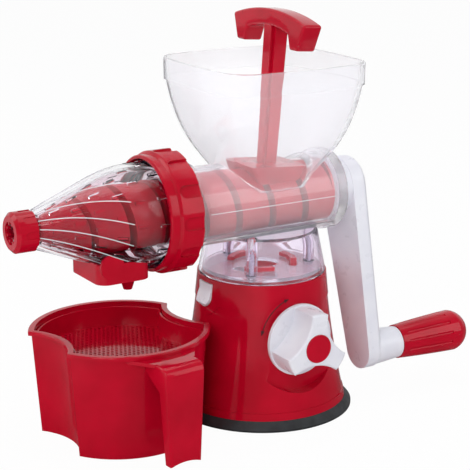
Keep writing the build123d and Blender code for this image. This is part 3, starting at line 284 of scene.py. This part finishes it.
def facet_tree():
    """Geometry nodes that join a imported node's loose triangles and shade its curved faces smooth."""
    tree = new_tree("joined_smooth_faces")
    sized_input(tree, "Crease angle", CREASE_ANGLE)
    source = add(tree, "NodeGroupInput")
    joined = add(tree, "GeometryNodeMergeByDistance", {"Geometry": source.outputs["Geometry"]})
    joined.inputs["Distance"].default_value = 0.002 * MM
    bare = add(tree, "GeometryNodeRemoveAttribute", {"Geometry": joined.outputs["Geometry"]})
    bare.inputs["Name"].default_value = "custom_normal"
    smooth = add(tree, "GeometryNodeSetShadeSmooth", {"Geometry": bare.outputs["Geometry"]},
                 domain="FACE")
    angle = add(tree, "GeometryNodeInputMeshEdgeAngle")
    is_sharp = add(tree, "FunctionNodeCompare", {"A": angle.outputs["Unsigned Angle"],
                                                 "B": source.outputs["Crease angle"]},
                   data_type="FLOAT", operation="GREATER_THAN")
    creased = add(tree, "GeometryNodeSetShadeSmooth",
                  {"Geometry": smooth.outputs["Geometry"], "Selection": is_sharp.outputs["Result"]},
                  domain="EDGE")
    creased.inputs["Shade Smooth"].default_value = False
    add(tree, "NodeGroupOutput", {"Geometry": creased.outputs["Geometry"]})
    return tree


def finish_nodes(names, material, tree):
    """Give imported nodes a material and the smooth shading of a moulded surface."""
    for name in names:
        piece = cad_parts[name]
        piece.data.materials.clear()
        piece.data.materials.append(material)
        modifier = piece.modifiers.new("smooth faces", "NODES")
        modifier.node_group = tree


# ================================================================= settings
class JuicerColours(bpy.types.PropertyGroup):
    """Colours of the moulded plastics, as linear values."""
    red: bpy.props.FloatVectorProperty(
        name="Red", description="Main colour of the red mouldings", subtype="COLOR", size=3,
        default=linear("#C20727")[:3])
    red_shade: bpy.props.FloatVectorProperty(
        name="Red shade", description="Colour of the faint flow marks in the red",
        subtype="COLOR", size=3, default=linear("#B20521")[:3])
    white: bpy.props.FloatVectorProperty(
        name="White", description="Main colour of the white mouldings", subtype="COLOR", size=3,
        default=linear("#EFEFF4")[:3])
    white_shade: bpy.props.FloatVectorProperty(
        name="White shade", description="Colour of the faint flow marks in the white",
        subtype="COLOR", size=3, default=linear("#E6E6EE")[:3])


class JuicerStage(bpy.types.PropertyGroup):
    """Studio sizes and light levels."""
    floor_size: bpy.props.FloatProperty(
        name="Floor", description="Side of the pale floor", default=8.0, unit="LENGTH")
    key_power: bpy.props.FloatProperty(
        name="Key light", description="Power of the large softbox on the left", default=17.0,
        unit="POWER")
    fill_power: bpy.props.FloatProperty(
        name="Fill light", description="Power of the softbox on the right", default=8.0,
        unit="POWER")
    top_power: bpy.props.FloatProperty(
        name="Top light", description="Power of the softbox overhead", default=10.0,
        unit="POWER")
    back_power: bpy.props.FloatProperty(
        name="Back light", description="Power of the softbox behind on the left", default=7.0,
        unit="POWER")
    ambient: bpy.props.FloatProperty(
        name="Ambient", description="Strength of the light from all round", default=0.29, min=0, max=1)


# ================================================================= stage
def softbox(name, place, size, power):
    """Rectangular area light that faces the juicer."""
    lamp = bpy.data.lights.new(name, "AREA")
    lamp.shape = "RECTANGLE"
    lamp.size, lamp.size_y = size
    lamp.energy = power
    light = bpy.data.objects.new(name, lamp)
    bpy.context.collection.objects.link(light)
    light.location = place
    aim = Vector(LIGHT_AIM) - Vector(place)
    light.rotation_euler = aim.to_track_quat("-Z", "Y").to_euler()


def seen_directly(tree):
    """Value that is 1 for rays from the camera or through clear parts."""
    path = add(tree, "ShaderNodeLightPath")
    either = add(tree, "ShaderNodeMath", {0: path.outputs["Is Camera Ray"],
                                          1: path.outputs["Is Transmission Ray"]}, operation="MAXIMUM")
    return either.outputs[0]


def floor_material():
    """Pale seamless paper: mostly white where it is seen, and still holding a soft shadow.

    Where the gloss mirrors it, it is dim in front of the juicer and bright far out on the left.
    """
    material, tree, output = new_material("white_background_paper")
    place = add(tree, "ShaderNodeTexCoord")
    parts = add(tree, "ShaderNodeSeparateXYZ", {"Vector": place.outputs["Object"]})
    mirrored = add(tree, "ShaderNodeMapRange", {"Value": parts.outputs["X"]},
                   interpolation_type="SMOOTHSTEP",
                   in_From_Min=-0.42, in_From_Max=-0.2, in_To_Min=0.95, in_To_Max=0.3)
    path = add(tree, "ShaderNodeLightPath")
    tone = add(tree, "ShaderNodeMix", {"Factor": path.outputs["Is Glossy Ray"],
                                       7: mirrored.outputs["Result"]}, data_type="RGBA")
    tone.inputs[6].default_value = linear("#F7F7F7")
    paper = add(tree, "ShaderNodeBsdfDiffuse", {"Color": tone.outputs[2]})
    white = add(tree, "ShaderNodeEmission", in_Strength=1.0)
    share = add(tree, "ShaderNodeMath", {0: seen_directly(tree)}, operation="MULTIPLY")
    share.inputs[1].default_value = 0.965
    mix = add(tree, "ShaderNodeMixShader", {0: share.outputs[0], 1: paper.outputs["BSDF"],
                                            2: white.outputs["Emission"]})
    tree.links.new(mix.outputs["Shader"], output.inputs["Surface"])
    return material


def white_world(ambient):
    """White surroundings where they are seen; where they are mirrored, they are dim in front."""
    world = bpy.data.worlds.new("white_studio")
    bpy.context.scene.world = world
    world.use_nodes = True
    tree = world.node_tree
    tree.nodes.clear()
    output = add(tree, "ShaderNodeOutputWorld")
    seen = add(tree, "ShaderNodeBackground", in_Strength=1.0)
    seen.inputs["Color"].default_value = (1, 1, 1, 1)
    light = add(tree, "ShaderNodeBackground", in_Strength=ambient)
    light.inputs["Color"].default_value = linear("#F4F6FF")
    way = add(tree, "ShaderNodeTexCoord")
    parts = add(tree, "ShaderNodeSeparateXYZ", {"Vector": way.outputs["Generated"]})
    backdrop = add(tree, "ShaderNodeMapRange", {"Value": parts.outputs["Y"]},
                   interpolation_type="SMOOTHSTEP",
                   in_From_Min=-0.3, in_From_Max=0.4, in_To_Min=0.34, in_To_Max=1.0)
    mirrored = add(tree, "ShaderNodeBackground", {"Strength": backdrop.outputs["Result"]})
    mirrored.inputs["Color"].default_value = (1, 1, 1, 1)
    path = add(tree, "ShaderNodeLightPath")
    unseen = add(tree, "ShaderNodeMixShader", {0: path.outputs["Is Glossy Ray"],
                                               1: light.outputs[0], 2: mirrored.outputs[0]})
    mix = add(tree, "ShaderNodeMixShader", {0: seen_directly(tree), 1: unseen.outputs[0],
                                            2: seen.outputs[0]})
    tree.links.new(mix.outputs["Shader"], output.inputs["Surface"])


class JUICER_OT_stage(bpy.types.Operator):
    """Build the pale floor, the soft studio light and the photographed viewpoint"""
    bl_idname = "juicer.stage"
    bl_label = "Stage and camera"

    def execute(self, context):
        stage = context.scene.juicer_stage
        context.scene.view_settings.view_transform = "Standard"
        camera_data = bpy.data.cameras.new("viewpoint")
        camera_data.lens = CAMERA_LENS
        camera_data.sensor_width = CAMERA_SENSOR
        camera_data.clip_start, camera_data.clip_end = 0.05, 50.0
        camera = bpy.data.objects.new("viewpoint", camera_data)
        context.collection.objects.link(camera)
        camera.location = [value * MM for value in CAMERA_PLACE]
        camera.rotation_euler = Vector(CAMERA_FORWARD).to_track_quat("-Z", "Y").to_euler()
        context.scene.camera = camera
        half = stage.floor_size / 2
        mesh = bpy.data.meshes.new("floor")
        below = -0.1 * MM
        mesh.from_pydata([(-half, -half, below), (half, -half, below), (half, half, below),
                          (-half, half, below)], [], [(0, 1, 2, 3)])
        floor = bpy.data.objects.new("floor", mesh)
        context.collection.objects.link(floor)
        mesh.materials.append(floor_material())
        softbox("key softbox", KEY_PLACE, KEY_SIZE, stage.key_power)
        softbox("fill softbox", FILL_PLACE, FILL_SIZE, stage.fill_power)
        softbox("top softbox", TOP_PLACE, TOP_SIZE, stage.top_power)
        softbox("back softbox", BACK_PLACE, BACK_SIZE, stage.back_power)
        white_world(stage.ambient)
        return {"FINISHED"}


# ================================================================= moulded parts
class JUICER_OT_mouldings(bpy.types.Operator):
    """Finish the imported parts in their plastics, rubber and steel"""
    bl_idname = "juicer.mouldings"
    bl_label = "Moulded parts"

    def execute(self, context):
        tree = facet_tree()
        finish_nodes(RED_NODES, red_abs(), tree)
        finish_nodes(WHITE_NODES, white_abs(), tree)
        milky = clear_plastic("clear_san_milky", 0.85, 0.04, "#F3F2F6")
        stand = clear_plastic("clear_san_stand", 0.97, 0.03, "#F4F2F8", "#F9F3FC")
        polished = clear_plastic("clear_san_polished", 1.0, 0.015, "#BDB6C8", ior=1.26)
        inner = clear_plastic("clear_san_inner", 1.0, 0.015, "#C8C0D2", "#F8EAF0", ior=1.19)
        finish_nodes(BOWL_NODES, milky, tree)
        finish_nodes(SKIRT_NODES, stand, tree)
        finish_nodes(NOSE_NODES, polished, tree)
        finish_nodes(STRAINER_NODES, inner, tree)
        finish_nodes(RUBBER_NODES, black_rubber(), tree)
        finish_nodes(GASKET_NODES, soft_gasket(), tree)
        finish_nodes(STEEL_NODES, plated_steel(), tree)
        return {"FINISHED"}


# ================================================================= pieces made by rule
def grown(tree, source, **sizes):
    """Plain mesh that a tree makes from a source mesh, with its named inputs set."""
    seed = bpy.data.objects.new(tree.name, source)
    bpy.context.collection.objects.link(seed)
    modifier = seed.modifiers.new(tree.name, "NODES")
    modifier.node_group = tree
    for socket in tree.interface.items_tree:
        if socket.name in sizes:
            modifier[socket.identifier] = sizes[socket.name]
    evaluated = seed.evaluated_get(bpy.context.evaluated_depsgraph_get())
    mesh = bpy.data.meshes.new_from_object(evaluated)
    bpy.data.objects.remove(seed)
    return mesh


def add_piece(name, mesh, body):
    """Link a finished mesh as a piece that moves with a body."""
    piece = bpy.data.objects.new(name, mesh)
    bpy.context.collection.objects.link(piece)
    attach(piece, body)
    return piece


def open_line(name, points):
    """Mesh of edges through points in millimetres."""
    mesh = bpy.data.meshes.new(name)
    edges = [(number, number + 1) for number in range(len(points) - 1)]
    mesh.from_pydata([Vector(point) * MM for point in points], edges, [])
    return mesh


def rib_tree(material):
    """Geometry nodes: one raised line, swept round and repeated about the barrel's axis."""
    tree = new_tree("raised_lines")
    sized_input(tree, "Count", 2, "NodeSocketInt")
    sized_input(tree, "Thickness", 0.6 * MM)
    sized_input(tree, "Height", BARREL_HEIGHT * MM)
    given = add(tree, "NodeGroupInput")
    path = add(tree, "GeometryNodeMeshToCurve", {"Mesh": given.outputs["Geometry"]})
    radius = add(tree, "ShaderNodeMath", {0: given.outputs["Thickness"]}, operation="MULTIPLY")
    radius.inputs[1].default_value = 0.5
    section = add(tree, "GeometryNodeCurvePrimitiveCircle", {"Radius": radius.outputs[0]},
                  in_Resolution=8)
    line = add(tree, "GeometryNodeCurveToMesh", {"Curve": path.outputs[0],
                                                 "Profile Curve": section.outputs[0]})
    line.inputs["Fill Caps"].default_value = True
    places = add(tree, "GeometryNodeMeshLine", {"Count": given.outputs["Count"]})
    places.inputs["Offset"].default_value = (0, 0, 0)
    number = add(tree, "GeometryNodeInputIndex")
    share = add(tree, "ShaderNodeMath", {0: number.outputs[0], 1: given.outputs["Count"]},
                operation="DIVIDE")
    turn = add(tree, "ShaderNodeMath", {0: share.outputs[0]}, operation="MULTIPLY")
    turn.inputs[1].default_value = math.tau
    about_axis = add(tree, "ShaderNodeCombineXYZ", {"X": turn.outputs[0]})
    copies = add(tree, "GeometryNodeInstanceOnPoints", {"Points": places.outputs[0],
                                                        "Instance": line.outputs[0],
                                                        "Rotation": about_axis.outputs[0]})
    real = add(tree, "GeometryNodeRealizeInstances", {"Geometry": copies.outputs[0]})
    lift = add(tree, "ShaderNodeCombineXYZ", {"Z": given.outputs["Height"]})
    raised = add(tree, "GeometryNodeTransform", {"Geometry": real.outputs[0],
                                                 "Translation": lift.outputs[0]})
    smooth = add(tree, "GeometryNodeSetShadeSmooth", {"Geometry": raised.outputs[0]})
    finished = add(tree, "GeometryNodeSetMaterial", {"Geometry": smooth.outputs[0]},
                   in_Material=material)
    add(tree, "NodeGroupOutput", {"Geometry": finished.outputs[0]})
    return tree


def nose_rib_path():
    """One swirling line on the nose's outer face, in millimetres from the barrel's axis."""
    nose = BVHTree.FromObject(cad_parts["nose_cone"], bpy.context.evaluated_depsgraph_get())
    points = []
    for step in range(RIB_STEPS + 1):
        share = step / RIB_STEPS
        x = RIB_START + share * (RIB_END - RIB_START)
        hit = nose.ray_cast(Vector((x, PROBE_REACH, BARREL_HEIGHT)) * MM, Vector((0, -1, 0)))[0]
        turn = math.radians(RIB_TURN + RIB_SWIRL * share)
        radius = hit.y / MM
        points.append((x, -radius * math.cos(turn), -radius * math.sin(turn)))
    return points


class JUICER_OT_lines(bpy.types.Operator):
    """Raise the swirling ribs on the nose and the parting lines along the barrel"""
    bl_idname = "juicer.lines"
    bl_label = "Moulded lines"

    def execute(self, context):
        tree = rib_tree(clear_plastic("clear_san_rib", 0.45, 0.1, "#EFEEF3"))
        rib = open_line("rib", nose_rib_path())
        ribs = grown(tree, rib, Count=RIB_COUNT, Thickness=RIB_THICKNESS * MM)
        add_piece("nose_ribs", ribs, "nose")
        seam = open_line("seam", [(SEAM_START, -SEAM_RADIUS, 0), (SEAM_END, -SEAM_RADIUS, 0)])
        seams = grown(tree, seam, Count=2, Thickness=SEAM_THICKNESS * MM)
        add_piece("barrel_seams", seams, "upper")
        return {"FINISHED"}


# ================================================================= strainer basket
def basket_outline(height, inset):
    """Outline of the cup at a height, moved in by inset: a circle with a hollow on each side."""
    radius = CUP_BOTTOM_RADIUS + (CUP_TOP_RADIUS - CUP_BOTTOM_RADIUS) * height / CUP_HEIGHT
    middle = radius - HOLLOW_DEPTH + HOLLOW_RADIUS
    outline = []
    for corner in range(BASKET_CORNERS):
        turn = math.tau * corner / BASKET_CORNERS
        reach = radius - inset
        across = middle * abs(math.sin(turn))
        if across < HOLLOW_RADIUS + inset:
            bulge = math.sqrt((HOLLOW_RADIUS + inset) ** 2 - across ** 2)
            reach = min(reach, middle * abs(math.cos(turn)) - bulge)
        turn += CUP_TURN
        outline.append((CUP_X + reach * math.cos(turn), CUP_Y + reach * math.sin(turn), height))
    return outline


def mesh_tree(material):
    """Geometry nodes: a plate with staggered round holes inside an outline."""
    tree = new_tree("perforated_plate")
    sized_input(tree, "Pitch", 3.4 * MM)
    sized_input(tree, "Hole radius", 1.15 * MM)
    sized_input(tree, "Margin", 2.6 * MM)
    sized_input(tree, "Thickness", 1.6 * MM)
    sized_input(tree, "Height", BASKET_BOTTOM * MM)
    given = add(tree, "NodeGroupInput")
    outline = add(tree, "GeometryNodeMeshToCurve", {"Mesh": given.outputs["Geometry"]})
    disc = add(tree, "GeometryNodeFillCurve", {"Curve": outline.outputs[0]})
    width = add(tree, "ShaderNodeMath", {0: given.outputs["Pitch"]}, operation="MULTIPLY")
    width.inputs[1].default_value = HOLE_ROWS - 1
    depth = add(tree, "ShaderNodeMath", {0: width.outputs[0]}, operation="MULTIPLY")
    depth.inputs[1].default_value = math.sqrt(3) / 2
    grid = add(tree, "GeometryNodeMeshGrid", {"Size X": width.outputs[0], "Size Y": depth.outputs[0]},
               in_Vertices_X=HOLE_ROWS, in_Vertices_Y=HOLE_ROWS)
    number = add(tree, "GeometryNodeInputIndex")
    odd_row = add(tree, "ShaderNodeMath", {0: number.outputs[0]}, operation="MODULO")
    odd_row.inputs[1].default_value = 2
    step = add(tree, "ShaderNodeMath", {0: odd_row.outputs[0], 1: given.outputs["Pitch"]},
               operation="MULTIPLY")
    shift = add(tree, "ShaderNodeMath", {0: step.outputs[0]}, operation="MULTIPLY")
    shift.inputs[1].default_value = 0.5
    offset = add(tree, "ShaderNodeCombineXYZ", {"X": shift.outputs[0]})
    rows_apart = add(tree, "GeometryNodeSetPosition", {"Geometry": grid.outputs[0],
                                                       "Offset": offset.outputs[0]})
    staggered = add(tree, "GeometryNodeTransform", {"Geometry": rows_apart.outputs[0]},
                    in_Translation=(CUP_X * MM, CUP_Y * MM, 0), in_Rotation=(0, 0, CUP_TURN))
    place = add(tree, "GeometryNodeInputPosition")
    above = add(tree, "ShaderNodeVectorMath", {0: place.outputs[0]}, operation="ADD")
    above.inputs[1].default_value = (0, 0, 0.01)
    ray = add(tree, "GeometryNodeRaycast", {"Target Geometry": disc.outputs[0],
                                            "Source Position": above.outputs[0]})
    edge = add(tree, "GeometryNodeProximity", {0: given.outputs["Geometry"]}, target_element="EDGES")
    clear = add(tree, "FunctionNodeCompare", {"A": edge.outputs["Distance"],
                                              "B": given.outputs["Margin"]},
                data_type="FLOAT", operation="GREATER_THAN")
    inside = add(tree, "FunctionNodeBooleanMath", {0: ray.outputs["Is Hit"], 1: clear.outputs[0]},
                 operation="AND")
    hole = add(tree, "GeometryNodeCurvePrimitiveCircle", {"Radius": given.outputs["Hole radius"]},
               in_Resolution=10)
    holes = add(tree, "GeometryNodeInstanceOnPoints", {"Points": staggered.outputs[0],
                                                       "Selection": inside.outputs[0],
                                                       "Instance": hole.outputs[0]})
    cut = add(tree, "GeometryNodeRealizeInstances", {"Geometry": holes.outputs[0]})
    curves = add(tree, "GeometryNodeJoinGeometry")
    tree.links.new(outline.outputs[0], curves.inputs[0])
    tree.links.new(cut.outputs[0], curves.inputs[0])
    face = add(tree, "GeometryNodeFillCurve", {"Curve": curves.outputs[0]})
    thick = add(tree, "ShaderNodeCombineXYZ", {"Z": given.outputs["Thickness"]})
    upper = add(tree, "GeometryNodeExtrudeMesh", {"Mesh": face.outputs[0], "Offset": thick.outputs[0]})
    upper.inputs["Individual"].default_value = False
    under = add(tree, "GeometryNodeFlipFaces", {"Mesh": face.outputs[0]})
    shell = add(tree, "GeometryNodeJoinGeometry")
    tree.links.new(upper.outputs[0], shell.inputs[0])
    tree.links.new(under.outputs[0], shell.inputs[0])
    closed = add(tree, "GeometryNodeMergeByDistance", {"Geometry": shell.outputs[0]})
    closed.inputs["Distance"].default_value = 0.001 * MM
    lift = add(tree, "ShaderNodeCombineXYZ", {"Z": given.outputs["Height"]})
    raised = add(tree, "GeometryNodeTransform", {"Geometry": closed.outputs[0],
                                                 "Translation": lift.outputs[0]})
    real = add(tree, "GeometryNodeRealizeInstances", {"Geometry": raised.outputs[0]})
    finished = add(tree, "GeometryNodeSetMaterial", {"Geometry": real.outputs[0]},
                   in_Material=material)
    add(tree, "NodeGroupOutput", {"Geometry": finished.outputs[0]})
    return tree


def add_basket_wall(mesh):
    """Add the basket's wall, with its rounded upper edge, to the perforated floor's mesh."""
    inner = BASKET_INSET + BASKET_WALL
    section = [(BASKET_BOTTOM, inner), (BASKET_BOTTOM, BASKET_INSET),
               (BASKET_TOP - BASKET_LIP, BASKET_INSET), (BASKET_TOP, BASKET_INSET + BASKET_LIP),
               (BASKET_TOP, inner - BASKET_LIP), (BASKET_TOP - BASKET_LIP, inner)]
    shape = bmesh.new()
    shape.from_mesh(mesh)
    rings = [[shape.verts.new(Vector(point) * MM) for point in basket_outline(height, inset)]
             for height, inset in section]
    for number, ring in enumerate(rings):
        following = rings[(number + 1) % len(rings)]
        for corner in range(len(ring)):
            after = (corner + 1) % len(ring)
            shape.faces.new((ring[corner], ring[after], following[after], following[corner]))
    shape.to_mesh(mesh)
    shape.free()


class JUICER_OT_basket(bpy.types.Operator):
    """Build the strainer basket with its fine staggered perforations"""
    bl_idname = "juicer.basket"
    bl_label = "Strainer basket"

    def execute(self, context):
        outline = basket_outline(BASKET_BOTTOM, BASKET_INSET + BASKET_WALL - FLOOR_OVERLAP)
        flat = bpy.data.meshes.new("basket outline")
        last = len(outline) - 1
        edges = [(number, number + 1) for number in range(last)] + [(last, 0)]
        flat.from_pydata([(x * MM, y * MM, 0) for x, y, _ in outline], edges, [])
        red = red_abs()
        mesh = grown(mesh_tree(red), flat)
        if len(mesh.polygons) < 1000:
            raise RuntimeError("the basket's floor has no perforations")
        add_basket_wall(mesh)
        mesh.materials.clear()
        mesh.materials.append(red)
        basket = add_piece("strainer_basket", mesh, "basket")
        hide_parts("cup_strainer")
        return {"FINISHED"}


# ================================================================= turning mark
class JUICER_OT_mark(bpy.types.Operator):
    """Print the double-ended turning arrow beside the knob"""
    bl_idname = "juicer.mark"
    bl_label = "Turning mark"

    def execute(self, context):
        head_turn = math.degrees(MARK_HEAD_LENGTH / MARK_RADIUS)
        step_turn = (MARK_END - MARK_START) / MARK_STEPS
        rows = [(MARK_START - head_turn, MARK_HALF_TIP), (MARK_START, MARK_HALF_HEAD)]
        rows += [(MARK_START + step_turn * step, MARK_HALF_WIDTH) for step in range(MARK_STEPS + 1)]
        rows += [(MARK_END, MARK_HALF_HEAD), (MARK_END + head_turn, MARK_HALF_TIP)]
        shape = bmesh.new()
        loops = []
        for turn, reach in rows:
            angle = math.radians(turn)
            corners = []
            inner, outer = MARK_RADIUS - reach, MARK_RADIUS + reach
            for radius, front in ((inner, 0), (outer, 0), (outer, MARK_THICKNESS),
                                  (inner, MARK_THICKNESS)):
                point = Vector((radius * math.cos(angle), KNOB_SEAT - front,
                                KNOB_HEIGHT + radius * math.sin(angle)))
                corners.append(shape.verts.new(point * MM))
            loops.append(corners)
        for first, second in zip(loops, loops[1:]):
            for number in range(4):
                after = (number + 1) % 4
                shape.faces.new((first[number], first[after], second[after], second[number]))
        shape.faces.new(reversed(loops[0]))
        shape.faces.new(loops[-1])
        bmesh.ops.recalc_face_normals(shape, faces=shape.faces)
        mesh = bpy.data.meshes.new("turning_mark")
        shape.to_mesh(mesh)
        shape.free()
        mesh.materials.append(mark_ink())
        add_piece("turning_mark", mesh, "base")
        return {"FINISHED"}


# ================================================================= panel and main
class JUICER_PT_panel(bpy.types.Panel):
    """Sidebar panel that lists the settings and the steps"""
    bl_label = "Wheatgrass juicer"
    bl_idname = "JUICER_PT_panel"
    bl_space_type = "VIEW_3D"
    bl_region_type = "UI"
    bl_category = "Juicer"

    def draw(self, context):
        for group in (context.scene.juicer_colours, context.scene.juicer_stage):
            box = self.layout.box()
            for name in group.__annotations__:
                box.prop(group, name)
        for step in steps:
            self.layout.operator(step.bl_idname)


steps = (JUICER_OT_stage, JUICER_OT_mouldings, JUICER_OT_lines, JUICER_OT_basket, JUICER_OT_mark)
settings = (JuicerColours, JuicerStage)


def register():
    """Register the settings, the steps and the panel."""
    for item in (*settings, *steps, JUICER_PT_panel):
        bpy.utils.register_class(item)
    bpy.types.Scene.juicer_colours = bpy.props.PointerProperty(type=JuicerColours)
    bpy.types.Scene.juicer_stage = bpy.props.PointerProperty(type=JuicerStage)


def unregister():
    """Take back what register did."""
    del bpy.types.Scene.juicer_stage
    del bpy.types.Scene.juicer_colours
    for item in reversed((*settings, *steps, JUICER_PT_panel)):
        bpy.utils.unregister_class(item)


def main():
    """Register the classes and run every step."""
    register()
    bpy.ops.juicer.stage()
    bpy.ops.juicer.mouldings()
    bpy.ops.juicer.lines()
    bpy.ops.juicer.basket()
    bpy.ops.juicer.mark()


if __name__ == "__main__":
    main()
